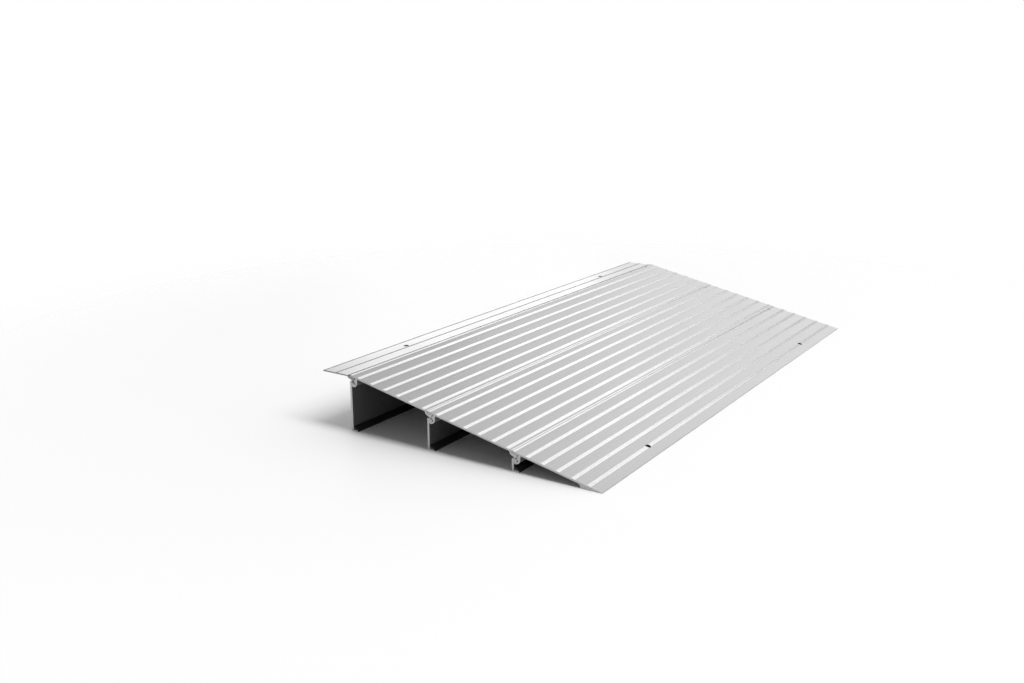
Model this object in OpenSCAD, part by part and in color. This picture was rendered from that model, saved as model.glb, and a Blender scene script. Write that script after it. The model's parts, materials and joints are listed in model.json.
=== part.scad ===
// Threshold ramp: three extruded aluminium planks, a hinged transition lip and three hooked legs.
// X runs along the width, +Y uphill, +Z up. The origin is on the floor, under the middle of the ramp.
// Profiles are drawn in the side view: first axis uphill, second axis up, and extruded along X.

/* [Ramp] */
// Width of the ramp, end to end of the extrusions
ramp_w = 864; // [700:1:1000]
// Slope of the deck, in degrees
slope = 11.55; // [9:0.05:14]
// Distance along the slope between two joint axes
plank_pitch = 126.6; // [110:0.1:150]
// Distance along the slope from the nose tip to the lowest joint axis
nose_len = 116.4; // [105:0.1:130]
// Distance from the highest joint axis to the free edge of the lip
lip_len = 50.8; // [42:0.1:70]

/* [Plates] */
// Thickness of the deck plates
plate_t = 2; // [1.8:0.05:2.4]
// Thickness of the lip plate
lip_t = 1.8; // [1.5:0.05:2]
// Height of the deck's flat top over the joint axes
deck_rise = 8; // [7.9:0.05:8.6]
// Height of the lip's top over its joint axis
lip_rise = 8.2; // [7.9:0.05:8.6]
// Height of the blunt edge at the nose tip
nose_tip = 0.6; // [0.4:0.05:1]
// Radius of the hollow heel behind the solid nose
heel_r = 5.4; // [4:0.1:5.8]

/* [Tread] */
// Distance between tread ribs along the slope
rib_pitch = 20.95; // [16:0.05:26]
// Width of a tread rib
rib_w = 5.1; // [4:0.1:6.4]
// Height of a rib's ridges over the flat deck
rib_h = 0.7; // [0.4:0.05:1]
// Distance between the ridges of a rib
ridge_pitch = 1.4; // [1.1:0.05:1.9]
// Depth of the valleys between the ridges
valley_d = 0.6; // [0.2:0.05:0.65]
// Width of the ribbed strip on each plank's upper edge
strip_w = 3; // [2.8:0.1:3.2]
// First rib of a plank, from its lower joint axis
rib_first = 13.95; // [12.5:0.05:15]
// First rib of the nose plank, from its joint axis
nose_rib_first = 14; // [12.5:0.1:20]

/* [Joints] */
// Radius of the bead on a plank's tongue
bead_r = 2.3; // [2.2:0.05:2.4]
// Radius of the hollow in the bead
bead_hole_r = 1.1; // [0.5:0.05:1.2]
// Outer radius of a leg's hook
hook_r = 4.2; // [4:0.05:4.3]
// Outer radius of the socket that holds hook and bead
knuckle_r = 6.5; // [6.3:0.05:6.8]
// Distance from the axis to the back of the web that ties the socket to the plate
web_back = 5.9; // [5:0.1:6.2]
// Running clearance in the joints
joint_clr = 0.2; // [0.15:0.05:0.3]
// Gap between the socket's end and the leg that it stops
stop_gap = 0.1; // [0.05:0.05:0.3]
// How far a plank's upper edge reaches past its joint axis
edge_reach = 6.3; // [6.2:0.05:6.5]
// Gap between two planks on the deck
deck_gap = 0.5; // [0.45:0.05:0.8]
// How far the wall at a plank's lower edge reaches past the joint axis
wall_reach = 10.2; // [9.8:0.1:10.6]
// How far the wall at the lip's lower edge reaches past the joint axis
lip_wall_reach = 9.6; // [9.4:0.1:10]
// Thickness of the lip's wall and neck
lip_neck_t = 1.5; // [1.4:0.05:1.8]
// Inner radius of a plank's trough, beside the joint
trough_r = 2.6; // [2.4:0.05:2.7]
// Inner radius of the lip's trough
lip_trough_r = 0.6; // [0.5:0.05:0.8]
// Height of the trough's centre over the joint axis
trough_h = 6.6; // [6.5:0.05:6.8]
// How far a plank can tilt up in its joint, in degrees
plank_up = 2; // [0:0.5:2]
// How far a plank can tilt down in its joint, in degrees
plank_down = 6; // [0:0.5:6]
// How far the lip can tilt up, in degrees
lip_up = 8; // [0:0.5:8]
// How far the lip can tilt down, in degrees
lip_down = 10; // [0:0.5:10]

/* [Legs] */
// Thickness of a leg
leg_t = 2.8; // [2:0.1:3]
// Height of a leg's top over its joint axis
leg_top = 0.3; // [0.2:0.05:0.4]
// Depth of a leg's foot, along the floor
foot_w = 9.9; // [8:0.1:14]
// Thickness of the foot
foot_t = 1.7; // [1.4:0.05:2.2]
// Height of the rubber strip on the leg, over the foot
rubber_h = 4.8; // [3:0.1:6]
// Thickness of the rubber over the foot and round its toe
rubber_t = 1; // [0.6:0.05:1.4]

/* [Holes] */
// Distance from the ramp's ends to the fixing holes
hole_inset = 150; // [60:1:250]
// Diameter of the fixing holes
hole_d = 7; // [5.5:0.1:8]
// Distance from the lip's free edge to its holes
lip_hole_inset = 17; // [12:0.1:20]
// Distance from the lip's free edge to its drill groove
groove_inset = 22.7; // [20:0.1:30]
// Width of the drill groove
groove_w = 3; // [1:0.1:4]
// Depth of the drill groove
groove_d = 0.5; // [0.2:0.05:0.8]
// Length of the bevel along the lip's free edge
bevel_len = 3; // [1:0.1:6]
// Height left at the lip's free edge
bevel_left = 1.4; // [0.5:0.05:1.6]

/* [Screws] */
// Diameter of the set screws that keep the planks in line
screw_d = 3; // [2.5:0.1:3.5]
// Distance from the ramp's end to the set screws
screw_inset = 27; // [15:0.5:60]
// Distance of the set screws past the joint axis
screw_s = 3.6; // [3.4:0.05:3.7]
// Length of a set screw
screw_len = 4.6; // [4.2:0.1:4.7]
// Width of its hexagon socket across the flats
socket_af = 1.5; // [1.2:0.1:1.8]
// Depth of the hexagon socket
socket_d = 1.8; // [1:0.1:2.5]

/* [Hidden] */
$fn = 64;

aluminium = "#c6c9cd";
rubber = "#141414";
steel = "#8d9094";

// Joints are numbered from the floor up
lower = 0;
middle = 1;
upper = 2;

// Flat left between a plank's upper edge and its ribbed strip
strip_margin = 0.2;
// Flat left between a plank's lower edge and the ridge along it
rim_margin = 0.1;
// Overrun of cuts past the faces that they leave
over = 1;
// Step left where a straight face runs into a round, so that the two cross
cross_step = 0.05;
// How far a neck runs on into the trough's wall
neck_root = 0.4;
// Share of a neck's thickness that the filling over it takes in
fill_share = 0.4;
// Place of the bead's hollow, from the joint axis
hollow_at = [-0.35, 0.35];
// Clearance round a set screw in its thread
screw_clr = 0.1;
// Room along the slope for a set screw's tip in the tongue below it
keeper_slack = 1.2;
// Height over the axis at which the keeper slot starts
keeper_floor = 2.4;
// Flat ring cut round a set screw in the ribbed strip
spot_rim = 1.1;
// Height of a set screw's point
screw_point = 0.7;
// Edge broken at a set screw's top
screw_edge = 0.3;

// Directions round a joint axis, in degrees from uphill, counted upwards
cap_from = 115;
cap_to = 190;
hook_from = 228;
mouth_overlap = 10;
full_turn = 360;

// Share of a ridge that its flat crest takes
crest_share = 0.2;

// Bead and hook run in each other, and the leg's face lies against the hook's inside
bead_seat_r = bead_r + joint_clr;
hook_seat_r = hook_r + joint_clr;
leg_in = bead_seat_r;
leg_out = leg_in + leg_t;
toe = leg_out - foot_w;
plank_start = edge_reach + deck_gap;
trough_s = wall_reach - plate_t - trough_r;
deck_under = deck_rise - plate_t;
strip_s = edge_reach - strip_margin - strip_w / 2;
screw_r = screw_d / 2;
socket_r = socket_af / sqrt(3);

lip_start = lip_wall_reach - lip_neck_t;
lip_trough_s = lip_start - lip_trough_r;

// Places of the joint axes, from the nose tip
first_y = nose_len * cos(slope) + deck_rise * sin(slope);
first_z = nose_tip + nose_len * sin(slope) - deck_rise * cos(slope);
pitch_y = plank_pitch * cos(slope);
pitch_z = plank_pitch * sin(slope);
ramp_l = first_y + upper * pitch_y + lip_len;
function joint_y(i) = first_y + i * pitch_y - ramp_l / 2;
function joint_z(i) = first_z + i * pitch_z;

// Ribs of a plank and of the nose plank, as places along the slope from the joint axis
rib_last = plank_pitch - rib_w;
ribs = [for (s = [rib_first : rib_pitch : rib_last]) s];
nose_rib_last = nose_len - 2 * rib_w;
nose_ribs = [for (s = [nose_rib_first : rib_pitch : nose_rib_last]) -s];
last_rib = nose_ribs[len(nose_ribs) - 1];

// Fixing holes of the nose stand on its last rib, and those of the lip on one line
nose_hole_y = joint_y(lower) + last_rib * cos(slope) - deck_rise * sin(slope);
nose_hole_z = joint_z(lower) + last_rib * sin(slope) + deck_rise * cos(slope);
lip_hole_y = ramp_l / 2 - lip_hole_inset;
lip_top_z = joint_z(upper) + lip_rise;
hole_xs = [-1, 1] * (ramp_w / 2 - hole_inset);
screw_x = ramp_w / 2 - screw_inset;

// Side view helpers

// Runs a side-view profile along the width
module extruded() {
    rotate([90, 0, 90]) linear_extrude(height = ramp_w, center = true) children();
}

// Places a profile on joint i, level with the floor
module at_joint(i) {
    translate([joint_y(i), joint_z(i)]) children();
}

// Places a profile on joint i, turned to the slope
module on_slope(i) {
    at_joint(i) rotate(slope) children();
}

// Wedge from the axis between two directions, less than half a turn apart
module sector(from, to, reach) {
    mid = (from + to) / 2;
    polygon([[0, 0], reach * [cos(from), sin(from)], reach * [cos(mid), sin(mid)] / cos((to - from) / 4),
             reach * [cos(to), sin(to)]]);
}

module ring(outer, inner) {
    difference() {
        circle(outer);
        circle(inner);
    }
}

// Rib of small ridges, centred on s and rooted in the plate
module rib(s, width) {
    count = round(width / ridge_pitch);
    ridge = width / count;
    crest = ridge * crest_share;
    flank = (ridge - crest) / 2;
    ridges = [for (i = [count - 1 : -1 : 0])
        let (left = i * ridge, low = i == 0 ? 0 : rib_h - valley_d)
        each [[left + flank + crest, rib_h], [left + flank, rib_h], [left, low]]];
    translate([s - width / 2, deck_rise])
        polygon(concat([[0, -plate_t / 2], [width, -plate_t / 2], [width, 0]], ridges));
}

// All that stays under the edge above it, when that edge turns through the given angles
module under_edge(turns, far) {
    intersection_for(a = turns) {
        rotate(a) translate([-far, -far]) square([2 * far, far + deck_under - joint_clr]);
    }
}

// Tongue that hangs a plank or the lip in the joint below it: bead, neck, trough, filling and wall
module tongue(thick, inner_r, centre_s, start, rise, turns) {
    reach = norm([centre_s, trough_h]);
    lean = asin((inner_r + bead_r) / reach);
    neck_a = atan2(trough_h, centre_s) - lean;
    neck = reach * cos(lean);
    difference() {
        union() {
            circle(bead_r);
            rotate(neck_a) translate([0, bead_r - thick + cross_step])
                square([neck + neck_root, thick - 2 * cross_step]);
            intersection() {
                under_edge(turns, 2 * reach);
                union() {
                    rotate(neck_a) translate([0, bead_r - fill_share * thick]) square([neck, reach]);
                    translate([centre_s, trough_h]) circle(inner_r + (1 - fill_share) * thick);
                }
            }
        }
        translate(hollow_at) circle(bead_hole_r);
    }
    translate([centre_s, trough_h]) {
        intersection() {
            ring(inner_r + thick, inner_r);
            sector(neck_a - 90, 0, 2 * (inner_r + thick));
        }
        translate([inner_r, 0]) square([thick, rise - trough_h]);
        translate([start - centre_s, -inner_r])
            square([centre_s + inner_r + thick / 2 - start, inner_r + rise - trough_h]);
    }
}

// Socket under a plank's upper edge: a cap over the bead, a web to the plate and a shell round the hook
module socket() {
    intersection() {
        difference() {
            union() {
                circle(knuckle_r);
                translate([-web_back, 0]) square([web_back, deck_rise - plate_t / 2]);
            }
            circle(bead_seat_r);
        }
        sector(cap_from, cap_to, 2 * knuckle_r);
    }
    difference() {
        ring(knuckle_r, hook_seat_r);
        sector(-slope - mouth_overlap, cap_from, 2 * knuckle_r);
        rotate(-slope) translate([leg_in - stop_gap, -2 * knuckle_r]) square(2 * knuckle_r);
    }
    rib(strip_s, strip_w);
}

// Plank between two joints, drawn from its lower axis
module plank_profile() {
    tongue(plate_t, trough_r, trough_s, plank_start, deck_rise, [plank_down, -plank_up]);
    translate([plank_start, deck_under]) square([plank_pitch + edge_reach - plank_start, plate_t]);
    translate([plank_pitch, 0]) socket();
    rib(plank_start + rim_margin + ridge_pitch / 2, ridge_pitch);
    for (s = ribs) rib(s, rib_w);
}

// Lowest plank, with its solid nose on the floor, drawn from its joint axis
module nose_profile() {
    tip = [-nose_len, deck_rise] - nose_tip * [sin(slope), cos(slope)];
    // The heel's hollow is centred on the floor and just bites into the plate
    heel_rise = deck_under - heel_r + cross_step;
    heel = tip + (tip.y - heel_rise) / sin(slope) * [cos(slope), -sin(slope)];
    difference() {
        polygon([[-nose_len, deck_rise], tip, heel, [heel.x, deck_under], [edge_reach, deck_under],
                 [edge_reach, deck_rise]]);
        translate(heel) circle(heel_r);
    }
    socket();
    for (s = nose_ribs) rib(s, rib_w);
}

// Lip, drawn level from the highest axis
module lip_profile() {
    tongue(lip_neck_t, lip_trough_r, lip_trough_s, lip_start, lip_rise, [slope + lip_down, slope - lip_up]);
    difference() {
        translate([lip_start, lip_rise - lip_t]) square([lip_len - lip_start, lip_t]);
        translate([lip_len - groove_inset, lip_rise])
            polygon([[-groove_w / 2, over], [-groove_w / 2, 0], [0, -groove_d], [groove_w / 2, 0],
                     [groove_w / 2, over]]);
        translate([lip_len, lip_rise])
            polygon([[-bevel_len, 0], [0, bevel_left - lip_t], [over, bevel_left - lip_t], [over, over],
                     [-bevel_len, over]]);
    }
}

// Leg with its hook and foot, drawn level from its axis, h over the floor
module leg_profile(h) {
    intersection() {
        ring(hook_r, bead_seat_r);
        sector(hook_from, full_turn, 2 * hook_r);
    }
    polygon([[leg_in, -h], [leg_out, -h], [leg_out, leg_top], [leg_in + leg_top, leg_top], [leg_in, 0]]);
    translate([toe, -h]) square([foot_w, foot_t]);
}

// Rubber in the corner of a foot, over its flange and round its toe
module foot_strip_profile(h) {
    top = foot_t + rubber_h;
    polygon([[leg_in, foot_t - h], [leg_in, top - h], [leg_in - rubber_t, top - h],
             [toe, foot_t + rubber_t - h], [toe - rubber_t, foot_t - h], [toe - rubber_t, -h],
             [toe, -h], [toe, foot_t - h]]);
}

// Cuts

// Hole from a top at the origin down through a plate, and up through any rib on it
module fixing_hole(depth) {
    translate([0, 0, -depth - over]) cylinder(d = hole_d, h = depth + over + hole_d);
}

// Puts its children on the axis of joint i's set screw, at the height of the flat deck
module at_screw(i) {
    translate([screw_x, joint_y(i), joint_z(i)]) rotate([slope, 0, 0])
        translate([0, screw_s, deck_rise]) children();
}

// Threaded hole of a set screw and the flat round it
module screw_hole(i) {
    at_screw(i) {
        translate([0, 0, -plate_t - over]) cylinder(r = screw_r + screw_clr, h = plate_t + 2 * over);
        cylinder(r = screw_r + spot_rim, h = rib_h + over);
    }
}

// Slot in the tongue that a set screw's point stands in
module keeper_slot(i) {
    half_x = screw_r + joint_clr;
    half_s = screw_r + keeper_slack;
    translate([screw_x, joint_y(i), joint_z(i)]) rotate([slope, 0, 0])
        translate([-half_x, screw_s - half_s, keeper_floor])
            cube([2 * half_x, 2 * half_s, deck_under - keeper_floor]);
}

// Sub-parts

module plank(i) {
    color(aluminium) difference() {
        extruded() on_slope(i - 1) plank_profile();
        screw_hole(i);
        keeper_slot(i - 1);
    }
}

module upper_plank() {
    plank(upper);
}

module middle_plank() {
    plank(middle);
}

module nose_plank() {
    color(aluminium) difference() {
        extruded() on_slope(lower) nose_profile();
        screw_hole(lower);
        for (x = hole_xs) translate([x, nose_hole_y, nose_hole_z]) fixing_hole(nose_hole_z);
    }
}

module threshold_lip() {
    color(aluminium) difference() {
        extruded() at_joint(upper) lip_profile();
        keeper_slot(upper);
        for (x = hole_xs) translate([x, lip_hole_y, lip_top_z]) fixing_hole(lip_t);
    }
}

module leg(i) {
    color(aluminium) extruded() at_joint(i) leg_profile(joint_z(i));
}

module upper_leg() {
    leg(upper);
}

module middle_leg() {
    leg(middle);
}

module lower_leg() {
    leg(lower);
}

module foot_strip(i) {
    color(rubber) extruded() at_joint(i) foot_strip_profile(joint_z(i));
}

module upper_foot_strip() {
    foot_strip(upper);
}

module middle_foot_strip() {
    foot_strip(middle);
}

module lower_foot_strip() {
    foot_strip(lower);
}

module joint_screw(i) {
    color(steel) at_screw(i) difference() {
        union() {
            translate([0, 0, -screw_len]) cylinder(r1 = screw_r - screw_point, r2 = screw_r, h = screw_point);
            translate([0, 0, screw_point - screw_len])
                cylinder(r = screw_r, h = screw_len - screw_point - screw_edge);
            translate([0, 0, -screw_edge]) cylinder(r1 = screw_r, r2 = screw_r - screw_edge, h = screw_edge);
        }
        translate([0, 0, -socket_d]) cylinder(r = socket_r, h = socket_d + over, $fn = 6);
    }
}

module upper_joint_screw() {
    joint_screw(upper);
}

module middle_joint_screw() {
    joint_screw(middle);
}

module lower_joint_screw() {
    joint_screw(lower);
}

threshold_lip();
upper_plank();
middle_plank();
nose_plank();
upper_leg();
middle_leg();
lower_leg();
upper_foot_strip();
middle_foot_strip();
lower_foot_strip();
upper_joint_screw();
middle_joint_screw();
lower_joint_screw();
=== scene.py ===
"""Looks of the threshold ramp: satin aluminium planks, rubber feet and zinc set screws on a white floor."""
import json
import math

import bpy
import bmesh
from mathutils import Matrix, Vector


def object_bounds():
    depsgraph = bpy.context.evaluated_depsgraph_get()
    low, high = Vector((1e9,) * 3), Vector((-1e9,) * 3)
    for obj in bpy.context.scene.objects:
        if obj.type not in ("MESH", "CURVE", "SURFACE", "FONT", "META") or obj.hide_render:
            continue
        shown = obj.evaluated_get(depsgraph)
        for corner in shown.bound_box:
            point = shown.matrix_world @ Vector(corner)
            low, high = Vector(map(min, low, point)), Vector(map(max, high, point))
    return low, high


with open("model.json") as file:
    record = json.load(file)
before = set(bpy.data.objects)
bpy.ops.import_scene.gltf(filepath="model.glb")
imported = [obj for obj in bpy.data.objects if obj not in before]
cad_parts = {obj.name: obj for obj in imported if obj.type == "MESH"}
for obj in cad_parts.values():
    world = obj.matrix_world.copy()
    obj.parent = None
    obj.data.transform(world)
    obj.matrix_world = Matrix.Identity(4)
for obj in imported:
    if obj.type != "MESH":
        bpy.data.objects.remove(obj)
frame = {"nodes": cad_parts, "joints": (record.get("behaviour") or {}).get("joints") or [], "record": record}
cad_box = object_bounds()

# Lengths are in metres and greys are linear.
# A pair for a ramp says where its mask starts and where it is full.

# Photograph's camera, worked out from the plank edges: place, turn in degrees and focal length in pixels
CAMERA_AT = (-1.40445, -0.72674, 0.47890)
CAMERA_YAW, CAMERA_PITCH = 56.645, 15.428
FOCAL_PX, IMAGE_W, SENSOR_MM = 1064.4, 1024, 36.0
VIEW_END = 100

# Deck: slope, normal, and height of the flat tread along that normal, over a joint's axis and over the origin
joints = {j["name"]: j for j in frame["joints"]}
low, high = joints["lower_plank_joint"]["pos_m"], joints["lip_hinge"]["pos_m"]
SLOPE = math.atan2(high[2] - low[2], high[1] - low[1])
DECK_UP = (0.0, -math.sin(SLOPE), math.cos(SLOPE))
DECK_RISE = 0.008
DECK_AT = sum(u * p for u, p in zip(DECK_UP, low)) + DECK_RISE
RIB_RISE = (0.00005, 0.0002)

# Joint at each plank's upper edge, and start of the ribbed strip there, downhill of the joint's axis
UPPER_JOINT = {"nose_plank": "lower_plank_joint", "middle_plank": "upper_plank_joint",
               "upper_plank": "lip_hinge"}
STRIP_START = (0.0006, 0.0002)

# Fixing holes, and how far the painted shade on their walls reaches past the radius
mounts = {m["name"]: m for m in frame["record"]["mounts"]}
lip_holes, nose_holes = mounts["lip_screw_holes"], mounts["nose_screw_holes"]
MM_PER_M = 1000
HOLE_X = lip_holes["dims"]["spacing_x_mm"] / 2 / MM_PER_M
HOLE_R = lip_holes["dims"]["hole_r_mm"] / MM_PER_M
HOLE_Y = {"threshold_lip": lip_holes["pos_m"][1], "nose_plank": nose_holes["pos_m"][1]}
HOLE_RIM = (0.0002, 0.00005)

# Lip: free edge, top over the hinge's axis, and the painted shade on the bevel, drill groove, and inner edge
# past that axis.
# Depths are under the top.
LIP_EDGE = cad_box[1][1]
LIP_RISE = 0.0082
LIP_TOP = high[2] + LIP_RISE
BEVEL_LEN, BEVEL_SOFT = 0.003, 0.0002
GROOVE_INSET = 0.0227
GROOVE_HALF, GROOVE_DEPTH = (0.0015, 0.0014), (0.0010, 0.0006)
INNER_EDGE, INNER_DEPTH = (0.0087, 0.0084), (0.0016, 0.0012)

# Part of a normal along an axis, for rim walls, undersides, sawn ends and what is no end
WALL_TURN, UNDER_TURN, SAWN_TURN, NO_END_TURN = (-0.88, -0.95), (-0.3, -0.8), (0.90, 0.97), (0.9, 0.8)

# Noise cells a metre along X, Y and Z
STREAKS, DIE_LINES, CLOUDS = (2.0, 160.0, 160.0), (4.0, 1500.0, 1500.0), (9.0, 9.0, 9.0)
SAW_LINES = (300.0, 2600.0, 260.0)
RUBBER_GRAIN, RUBBER_LINES, RUBBER_DUST = (900.0, 1400.0, 1400.0), (3.0, 700.0, 700.0), (40.0, 60.0, 60.0)
ZINC_SPOTS = (1200.0, 1200.0, 1200.0)

# Aluminium: greys, roughness of the mill finish with what each surface adds to it, and bump
# The lip's sawn ends take a darker copy of the sawn greys, as painted shade.
MILL_GREYS, SAWN_GREYS, SAWN_LIP_SHADE_GREYS = (0.83, 0.89), (0.34, 0.52), (0.20, 0.32)
# Painted highlight on the ribs, duller on the strip by each joint; painted shade on faces turned down and on
# the legs' downhill faces.
RIB_HIGHLIGHT_GREY, STRIP_SHADE_GREY, UNDER_SHADE_GREY = 0.94, 0.88, 0.30
# Painted shade in dark matt greys: rim walls facing downhill, the lip's bevel, drill groove and inner edge,
# and the holes.
WALL_SHADE_GREY, BEVEL_SHADE_GREY, GROOVE_SHADE_GREY, INNER_EDGE_SHADE_GREY, HOLE_SHADE_GREY = 0.20, 0.14, 0.28, 0.10, 0.05
MILL_ROUGH, CLOUD_ROUGH, LINE_ROUGH = 0.20, 0.10, 0.06
RIB_ROUGH, STRIP_ROUGH, UNDER_ROUGH, SAWN_ROUGH, MARK_ROUGH = -0.09, 0.06, 0.25, 0.16, 0.3
SAW_RELIEF, STREAK_RELIEF = 2.0, 0.5
MILL_BUMP, MILL_BUMP_DEPTH = 0.09, 0.00006

# Rubber and zinc
RUBBER_GREYS, DUST_SHOWS = (0.012, 0.035), (0.45, 0.8)
RUBBER_ROUGH, DUST_ROUGH, RUBBER_GLOSS = 0.5, 0.2, 0.4
RUBBER_BUMP, ZINC_BUMP, FINE_BUMP_DEPTH = 0.25, 0.1, 0.0001
ZINC_DARK, ZINC_LIGHT = (0.40, 0.02), (0.58, 0.01)
ZINC_ROUGH, SPOT_ROUGH = 0.22, 0.2

# Room in mirror rays: azimuth in degrees from uphill, to either side, and level of the walls there
WALLS = ((0, 0.75), (40, 0.48), (56, 0.37), (60, 0.43), (66, 0.61), (70, 0.755), (74, 0.80), (82, 0.77),
         (95, 0.64), (104, 0.47), (113, 0.45), (116, 0.80), (119, 1.50), (122, 1.62), (126, 1.28),
         (129, 1.02), (132, 0.75), (145, 0.75), (180, 0.75))
HALF_TURN = 180
LOW_WALL, CEILING, SKYLIGHT = 1.02, 0.45, 0.64
# Azimuths that end the low wall and the white foot of the walls
LOW_WALL_TO, FOOT_TO = (80, 95), (95, 102)
# Sines of the elevation at which each layer of the room follows the one below it
WALLS_FROM, CEILING_FROM, SKYLIGHT_FROM, ROOM_FROM = (0.25, 0.36), (0.42, 0.75), (0.80, 0.92), (0.04, 0.16)

# Fill for matt surfaces from the near and the far end, and half the width of its change along X
FILL_NEAR, FILL_FAR, FILL_CHANGE = 0.22, 0.92, 0.3

# Lamps: azimuth, elevation and distance, size and radiance
KEY_FROM, KEY_SIZE, KEY_RADIANCE = (175, 62, 12.0), (3.6, 11.2), 7.4
REAR_FROM, REAR_SIZE, REAR_RADIANCE = (50.0, 15.2, 3.0), (1.10, 0.70), 0.62

# Floor: radius, share of it at which the fade starts and ends, and finish
FLOOR_R, FLOOR_SIDES = 1.35, 96
FADE_START, FADE_END = 0.45, 0.97
FLOOR_GREY, FLOOR_ROUGH, FLOOR_GLOSS = 0.93, 0.35, 0.05


class Nodes:
    """Short calls for building a node tree."""

    def __init__(self, tree):
        self.tree = tree
        tree.nodes.clear()

    def add(self, kind, inputs=None, **settings):
        """New node with its settings and inputs."""
        node = self.tree.nodes.new(kind)
        for name, value in settings.items():
            setattr(node, name, value)
        for name, value in (inputs or {}).items():
            self.feed(node.inputs[name], value)
        return node

    def feed(self, socket, value):
        """Links another socket or sets a plain value."""
        if isinstance(value, bpy.types.NodeSocket):
            self.tree.links.new(value, socket)
        else:
            socket.default_value = value

    def math(self, operation, a, b=None, c=None, clamp=False):
        """Result of a math node."""
        values = {i: v for i, v in enumerate((a, b, c)) if v is not None}
        return self.add("ShaderNodeMath", values, operation=operation, use_clamp=clamp).outputs[0]

    def ramp(self, value, low, high, to_low=0.0, to_high=1.0):
        """Smooth step of a value from low to high."""
        inputs = {"Value": value, "From Min": low, "From Max": high, "To Min": to_low, "To Max": to_high}
        return self.add("ShaderNodeMapRange", inputs, interpolation_type="SMOOTHSTEP").outputs[0]

    def mix(self, share, a, b):
        """Mix of two colours."""
        return self.add("ShaderNodeMix", {0: share, 6: a, 7: b}, data_type="RGBA").outputs[2]

    def noise(self, where, stretch, detail=3.0, rough=0.5):
        """Noise with a number of cells a metre along each axis."""
        placed = self.add("ShaderNodeMapping", {"Vector": where, "Scale": stretch}).outputs[0]
        inputs = {"Vector": placed, "Scale": 1.0, "Detail": detail, "Roughness": rough}
        return self.add("ShaderNodeTexNoise", inputs).outputs[0]

    def split(self, vector):
        """X, Y and Z of a vector."""
        return self.add("ShaderNodeSeparateXYZ", {0: vector}).outputs

    def bump(self, height, strength, depth):
        """Normal of a bumped surface."""
        inputs = {"Height": height, "Strength": strength, "Distance": depth}
        return self.add("ShaderNodeBump", inputs).outputs[0]


def grey(v, tint=0.0):
    """Linear grey, a little blue with tint."""
    return (v * (1 - tint), v, v * (1 + tint), 1.0)


def material(name):
    """New material and its empty node tree."""
    m = bpy.data.materials.new(name)
    m.use_nodes = True
    return m, Nodes(m.node_tree)


def finish_with(n, shader):
    """Ends a surface's node tree with a shader."""
    n.add("ShaderNodeOutputMaterial", {"Surface": shader.outputs[0]})


def painted_shade_marks(n, node, place, facing, across, rib):
    """Masks and greys of matt painted shade: rim walls, the lip's bevel, groove and inner edge, and holes."""
    found = []
    if rib is not None:
        wall = n.ramp(facing["Y"], *WALL_TURN)
        found.append((n.math("MULTIPLY", wall, n.math("SUBTRACT", 1.0, rib)), WALL_SHADE_GREY))
    if node == "threshold_lip":
        bevel_at = LIP_EDGE - BEVEL_LEN
        found.append((n.ramp(place["Y"], bevel_at - BEVEL_SOFT, bevel_at + BEVEL_SOFT), BEVEL_SHADE_GREY))
        off = n.math("ABSOLUTE", n.math("SUBTRACT", place["Y"], LIP_EDGE - GROOVE_INSET))
        near_top = n.ramp(place["Z"], *(LIP_TOP - d for d in GROOVE_DEPTH))
        found.append((n.math("MULTIPLY", n.ramp(off, *GROOVE_HALF), near_top), GROOVE_SHADE_GREY))
        inner = n.ramp(place["Y"], *(high[1] + d for d in INNER_EDGE))
        inner = n.math("MULTIPLY", inner, n.ramp(across, *NO_END_TURN))
        near_top = n.ramp(place["Z"], *(LIP_TOP - d for d in INNER_DEPTH))
        found.append((n.math("MULTIPLY", inner, near_top), INNER_EDGE_SHADE_GREY))
    if node in HOLE_Y:
        out_x = n.math("SUBTRACT", n.math("ABSOLUTE", place["X"]), HOLE_X)
        out_y = n.math("SUBTRACT", place["Y"], HOLE_Y[node])
        out = n.add("ShaderNodeCombineXYZ", {0: out_x, 1: out_y}).outputs[0]
        out = n.add("ShaderNodeVectorMath", {0: out}, operation="LENGTH").outputs["Value"]
        found.append((n.ramp(out, *(HOLE_R + d for d in HOLE_RIM)), HOLE_SHADE_GREY))
    return found


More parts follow.
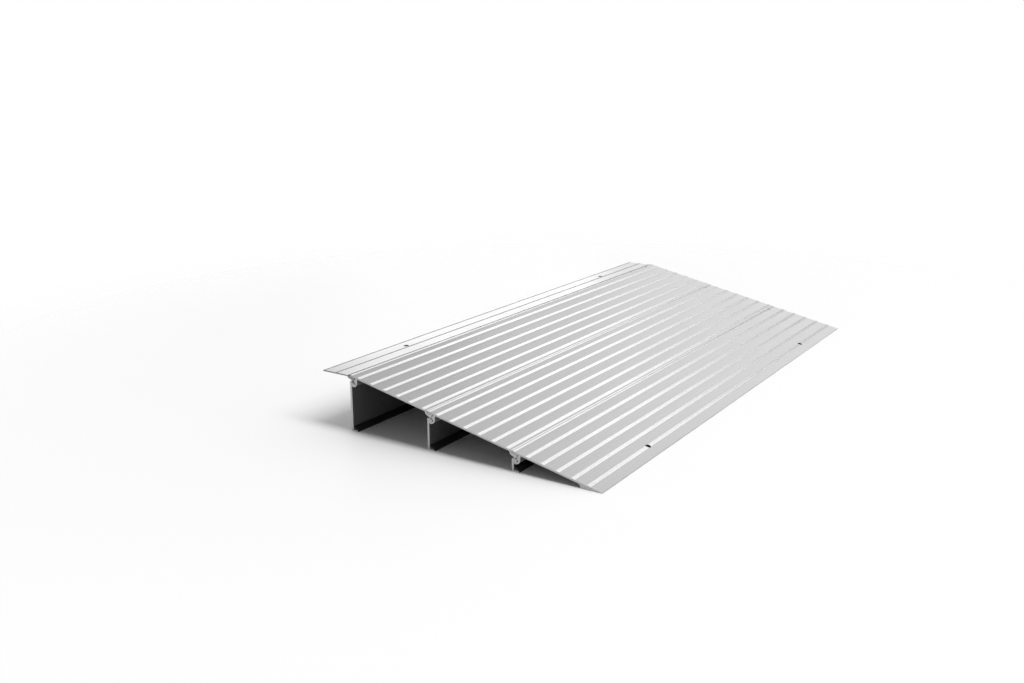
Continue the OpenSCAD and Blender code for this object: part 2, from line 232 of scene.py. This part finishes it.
def aluminium(name, node):
    """Mill-finish extrusion: die lines along X, ribs with a painted highlight, undersides with painted shade,
    sawn ends, and matt painted shade on walls, the lip's bevel, groove and inner edge, and holes.
    """
    m, n = material(name)
    coords = n.add("ShaderNodeTexCoord").outputs
    where = coords["Object"]
    place, facing = n.split(where), n.split(coords["Normal"])
    across = n.math("ABSOLUTE", facing["X"])
    streaks = n.noise(where, STREAKS)
    lines = n.noise(where, DIE_LINES, detail=2.0)
    clouds = n.noise(where, CLOUDS, detail=4.0, rough=0.6)
    colour = n.mix(streaks, *map(grey, MILL_GREYS))
    rough = n.math("MULTIPLY_ADD", clouds, CLOUD_ROUGH, MILL_ROUGH)
    rough = n.math("MULTIPLY_ADD", lines, LINE_ROUGH, rough)
    rib = None
    if node in UPPER_JOINT:
        height = n.add("ShaderNodeVectorMath", {0: where, 1: DECK_UP}, operation="DOT_PRODUCT")
        rib = n.ramp(n.math("SUBTRACT", height.outputs["Value"], DECK_AT), *RIB_RISE)
        # Painted highlight: the ribs are mixed to a lighter grey than the flats.
        colour = n.mix(rib, colour, grey(RIB_HIGHLIGHT_GREY))
        rough = n.math("MULTIPLY_ADD", rib, RIB_ROUGH, rough)
        axis_y = joints[UPPER_JOINT[node]]["pos_m"][1]
        # Painted shade: the ribbed strip by the upper joint is mixed to a duller grey than the other ribs.
        strip = n.math("MULTIPLY", rib, n.ramp(place["Y"], *(axis_y - d for d in STRIP_START)))
        colour = n.mix(strip, colour, grey(STRIP_SHADE_GREY))
        rough = n.math("MULTIPLY_ADD", strip, STRIP_ROUGH, rough)
    # Painted shade: faces turned down, and the legs' downhill faces, are mixed to a dark grey.
    under = n.ramp(facing["Z"], *UNDER_TURN)
    if node.endswith("_leg"):
        under = n.math("MAXIMUM", under, n.ramp(facing["Y"], *UNDER_TURN))
    colour = n.mix(under, colour, grey(UNDER_SHADE_GREY))
    rough = n.math("MULTIPLY_ADD", under, UNDER_ROUGH, rough)
    sawn = n.ramp(across, *SAWN_TURN)
    saw_lines = n.noise(where, SAW_LINES, detail=2.0)
    # Painted shade: the lip's sawn ends are darker than the other sawn ends.
    sawn_greys = SAWN_LIP_SHADE_GREYS if node == "threshold_lip" else SAWN_GREYS
    colour = n.mix(sawn, colour, n.mix(saw_lines, *map(grey, sawn_greys)))
    rough = n.math("MULTIPLY_ADD", sawn, SAWN_ROUGH, rough)
    metal = 1.0
    # Painted shade: rim walls, the lip's bevel, groove and inner edge, and the holes are mixed to dark matt
    # greys.
    for mask, level in painted_shade_marks(n, node, place, facing, across, rib):
        colour = n.mix(mask, colour, grey(level))
        rough = n.math("MULTIPLY_ADD", mask, MARK_ROUGH, rough)
        metal = n.math("MULTIPLY_ADD", mask, -1.0, metal, clamp=True)
    relief = n.math("MULTIPLY_ADD", streaks, STREAK_RELIEF, lines)
    relief = n.math("MULTIPLY_ADD", n.math("MULTIPLY", sawn, saw_lines), SAW_RELIEF, relief)
    finish_with(n, n.add("ShaderNodeBsdfPrincipled", {
        "Base Color": colour, "Metallic": metal, "Roughness": rough, "Specular IOR Level": 0.0,
        "Normal": n.bump(relief, MILL_BUMP, MILL_BUMP_DEPTH)}))
    return m


def rubber(name):
    """Black extruded rubber, matt, with faint drawn lines and dust."""
    m, n = material(name)
    where = n.add("ShaderNodeTexCoord").outputs["Object"]
    grain = n.noise(where, RUBBER_GRAIN, detail=4.0, rough=0.6)
    drawn = n.noise(where, RUBBER_LINES)
    dust = n.noise(where, RUBBER_DUST, detail=5.0, rough=0.65)
    colour = n.mix(n.ramp(dust, *DUST_SHOWS), *map(grey, RUBBER_GREYS))
    rough = n.math("MULTIPLY_ADD", dust, DUST_ROUGH, RUBBER_ROUGH)
    finish_with(n, n.add("ShaderNodeBsdfPrincipled", {
        "Base Color": colour, "Roughness": rough, "Specular IOR Level": RUBBER_GLOSS,
        "Normal": n.bump(n.math("ADD", grain, drawn), RUBBER_BUMP, FINE_BUMP_DEPTH)}))
    return m


def zinc(name):
    """Zinc-plated steel of the set screws."""
    m, n = material(name)
    where = n.add("ShaderNodeTexCoord").outputs["Object"]
    spots = n.noise(where, ZINC_SPOTS, detail=4.0, rough=0.6)
    colour = n.mix(spots, grey(*ZINC_DARK), grey(*ZINC_LIGHT))
    rough = n.math("MULTIPLY_ADD", spots, SPOT_ROUGH, ZINC_ROUGH)
    finish_with(n, n.add("ShaderNodeBsdfPrincipled", {
        "Base Color": colour, "Metallic": 1.0, "Roughness": rough,
        "Normal": n.bump(spots, ZINC_BUMP, FINE_BUMP_DEPTH)}))
    return m


def seen_directly(n, path):
    """1 for rays that show the background: camera, mirror and glass rays that met nothing matt."""
    seen = n.math("MAXIMUM", path["Is Camera Ray"], path["Is Glossy Ray"])
    seen = n.math("MAXIMUM", seen, path["Is Transmission Ray"])
    return n.math("SUBTRACT", seen, path["Diffuse Depth"], clamp=True)


def light_world():
    """White background, a room of light and dark walls for mirror rays, and a fill for matt surfaces."""
    world = bpy.data.worlds.new("studio")
    world.use_nodes = True
    bpy.context.scene.world = world
    n = Nodes(world.node_tree)
    along = n.split(n.add("ShaderNodeTexCoord").outputs["Generated"])
    up = along["Z"]
    azimuth = n.math("ABSOLUTE", n.math("ARCTAN2", along["X"], along["Y"]))
    azimuth = n.math("DIVIDE", azimuth, math.pi)
    walls = n.add("ShaderNodeValToRGB", {0: azimuth})
    stops = walls.color_ramp.elements
    # New stops start halfway and get their places in the next loop
    while len(stops) < len(WALLS):
        stops.new(0.5)
    for stop, (degrees, level) in zip(stops, WALLS):
        stop.position = degrees / HALF_TURN
        stop.color = grey(level)
    wall = walls.outputs[0]
    low_wall = n.mix(n.ramp(azimuth, *(d / HALF_TURN for d in LOW_WALL_TO)), grey(LOW_WALL), wall)
    room = n.mix(n.ramp(up, *WALLS_FROM), low_wall, wall)
    room = n.mix(n.ramp(up, *CEILING_FROM), room, grey(CEILING))
    room = n.mix(n.ramp(up, *SKYLIGHT_FROM), room, grey(SKYLIGHT))
    foot = n.mix(n.ramp(azimuth, *(d / HALF_TURN for d in FOOT_TO)), grey(1.0), wall)
    room = n.mix(n.ramp(up, *ROOM_FROM), foot, room)
    path = n.add("ShaderNodeLightPath").outputs
    room = n.mix(path["Is Camera Ray"], room, grey(1.0))
    fill = n.ramp(along["X"], -FILL_CHANGE, FILL_CHANGE, FILL_NEAR, FILL_FAR)
    colour = n.mix(seen_directly(n, path), fill, room)
    background = n.add("ShaderNodeBackground", {"Color": colour, "Strength": 1.0})
    n.add("ShaderNodeOutputWorld", {"Surface": background.outputs[0]})


def toward(azimuth, elevation, distance):
    """Point at an azimuth clockwise from uphill and an elevation, in degrees."""
    a, e = math.radians(azimuth), math.radians(elevation)
    flat = distance * math.cos(e)
    return (flat * math.sin(a), flat * math.cos(a), distance * math.sin(e))


def soft_box(name, at, size, radiance, mirrored):
    """Rectangular lamp aimed at the origin, not shown to the camera, and in reflections only if mirrored."""
    lamp = bpy.data.lights.new(name, "AREA")
    lamp.shape = "RECTANGLE"
    lamp.size, lamp.size_y = size
    lamp.energy = radiance * math.pi * size[0] * size[1]
    o = bpy.data.objects.new(name, lamp)
    bpy.context.scene.collection.objects.link(o)
    o.location = at
    tilt = math.atan2(math.hypot(at[0], at[1]), at[2])
    o.rotation_euler = (tilt, 0.0, math.atan2(-at[1], -at[0]) - math.pi / 2)
    o.visible_camera = False
    o.visible_glossy = mirrored


def lay_floor():
    """White floor disc that fades into the background."""
    bm = bmesh.new()
    bmesh.ops.create_circle(bm, cap_ends=True, radius=FLOOR_R, segments=FLOOR_SIDES)
    mesh = bpy.data.meshes.new("floor")
    bm.to_mesh(mesh)
    bm.free()
    floor = bpy.data.objects.new("floor", mesh)
    bpy.context.scene.collection.objects.link(floor)
    m, n = material("floor_white")
    where = n.add("ShaderNodeTexCoord").outputs["Object"]
    out = n.add("ShaderNodeVectorMath", {0: where}, operation="LENGTH").outputs["Value"]
    paper = n.add("ShaderNodeBsdfPrincipled", {
        "Base Color": grey(FLOOR_GREY), "Roughness": FLOOR_ROUGH, "Specular IOR Level": FLOOR_GLOSS})
    clear = n.add("ShaderNodeBsdfTransparent")
    fade = n.ramp(out, FADE_START * FLOOR_R, FADE_END * FLOOR_R)
    finish_with(n, n.add("ShaderNodeMixShader", {0: fade, 1: paper.outputs[0], 2: clear.outputs[0]}))
    mesh.materials.append(m)


def place_camera():
    """Camera of the photograph."""
    data = bpy.data.cameras.new("camera")
    data.sensor_fit = "HORIZONTAL"
    data.sensor_width = SENSOR_MM
    data.lens = FOCAL_PX / IMAGE_W * SENSOR_MM
    data.clip_end = VIEW_END
    o = bpy.data.objects.new("camera", data)
    bpy.context.scene.collection.objects.link(o)
    o.location = CAMERA_AT
    o.rotation_euler = (math.radians(90 - CAMERA_PITCH), 0.0, math.radians(-CAMERA_YAW))
    bpy.context.scene.camera = o


finishes = {"rubber": rubber("rubber_black"), "steel": zinc("steel_zinc")}
for part in frame["record"]["subparts"]:
    node = part["node"]
    finish = finishes.get(part["material_slot"]) or aluminium("aluminium_" + node, node)
    for s in frame["nodes"][node].material_slots:
        s.material = finish

place_camera()
light_world()
soft_box("key", toward(*KEY_FROM), KEY_SIZE, KEY_RADIANCE, mirrored=False)
soft_box("rear", toward(*REAR_FROM), REAR_SIZE, REAR_RADIANCE, mirrored=True)
lay_floor()
bpy.context.scene.view_settings.view_transform = "Standard"
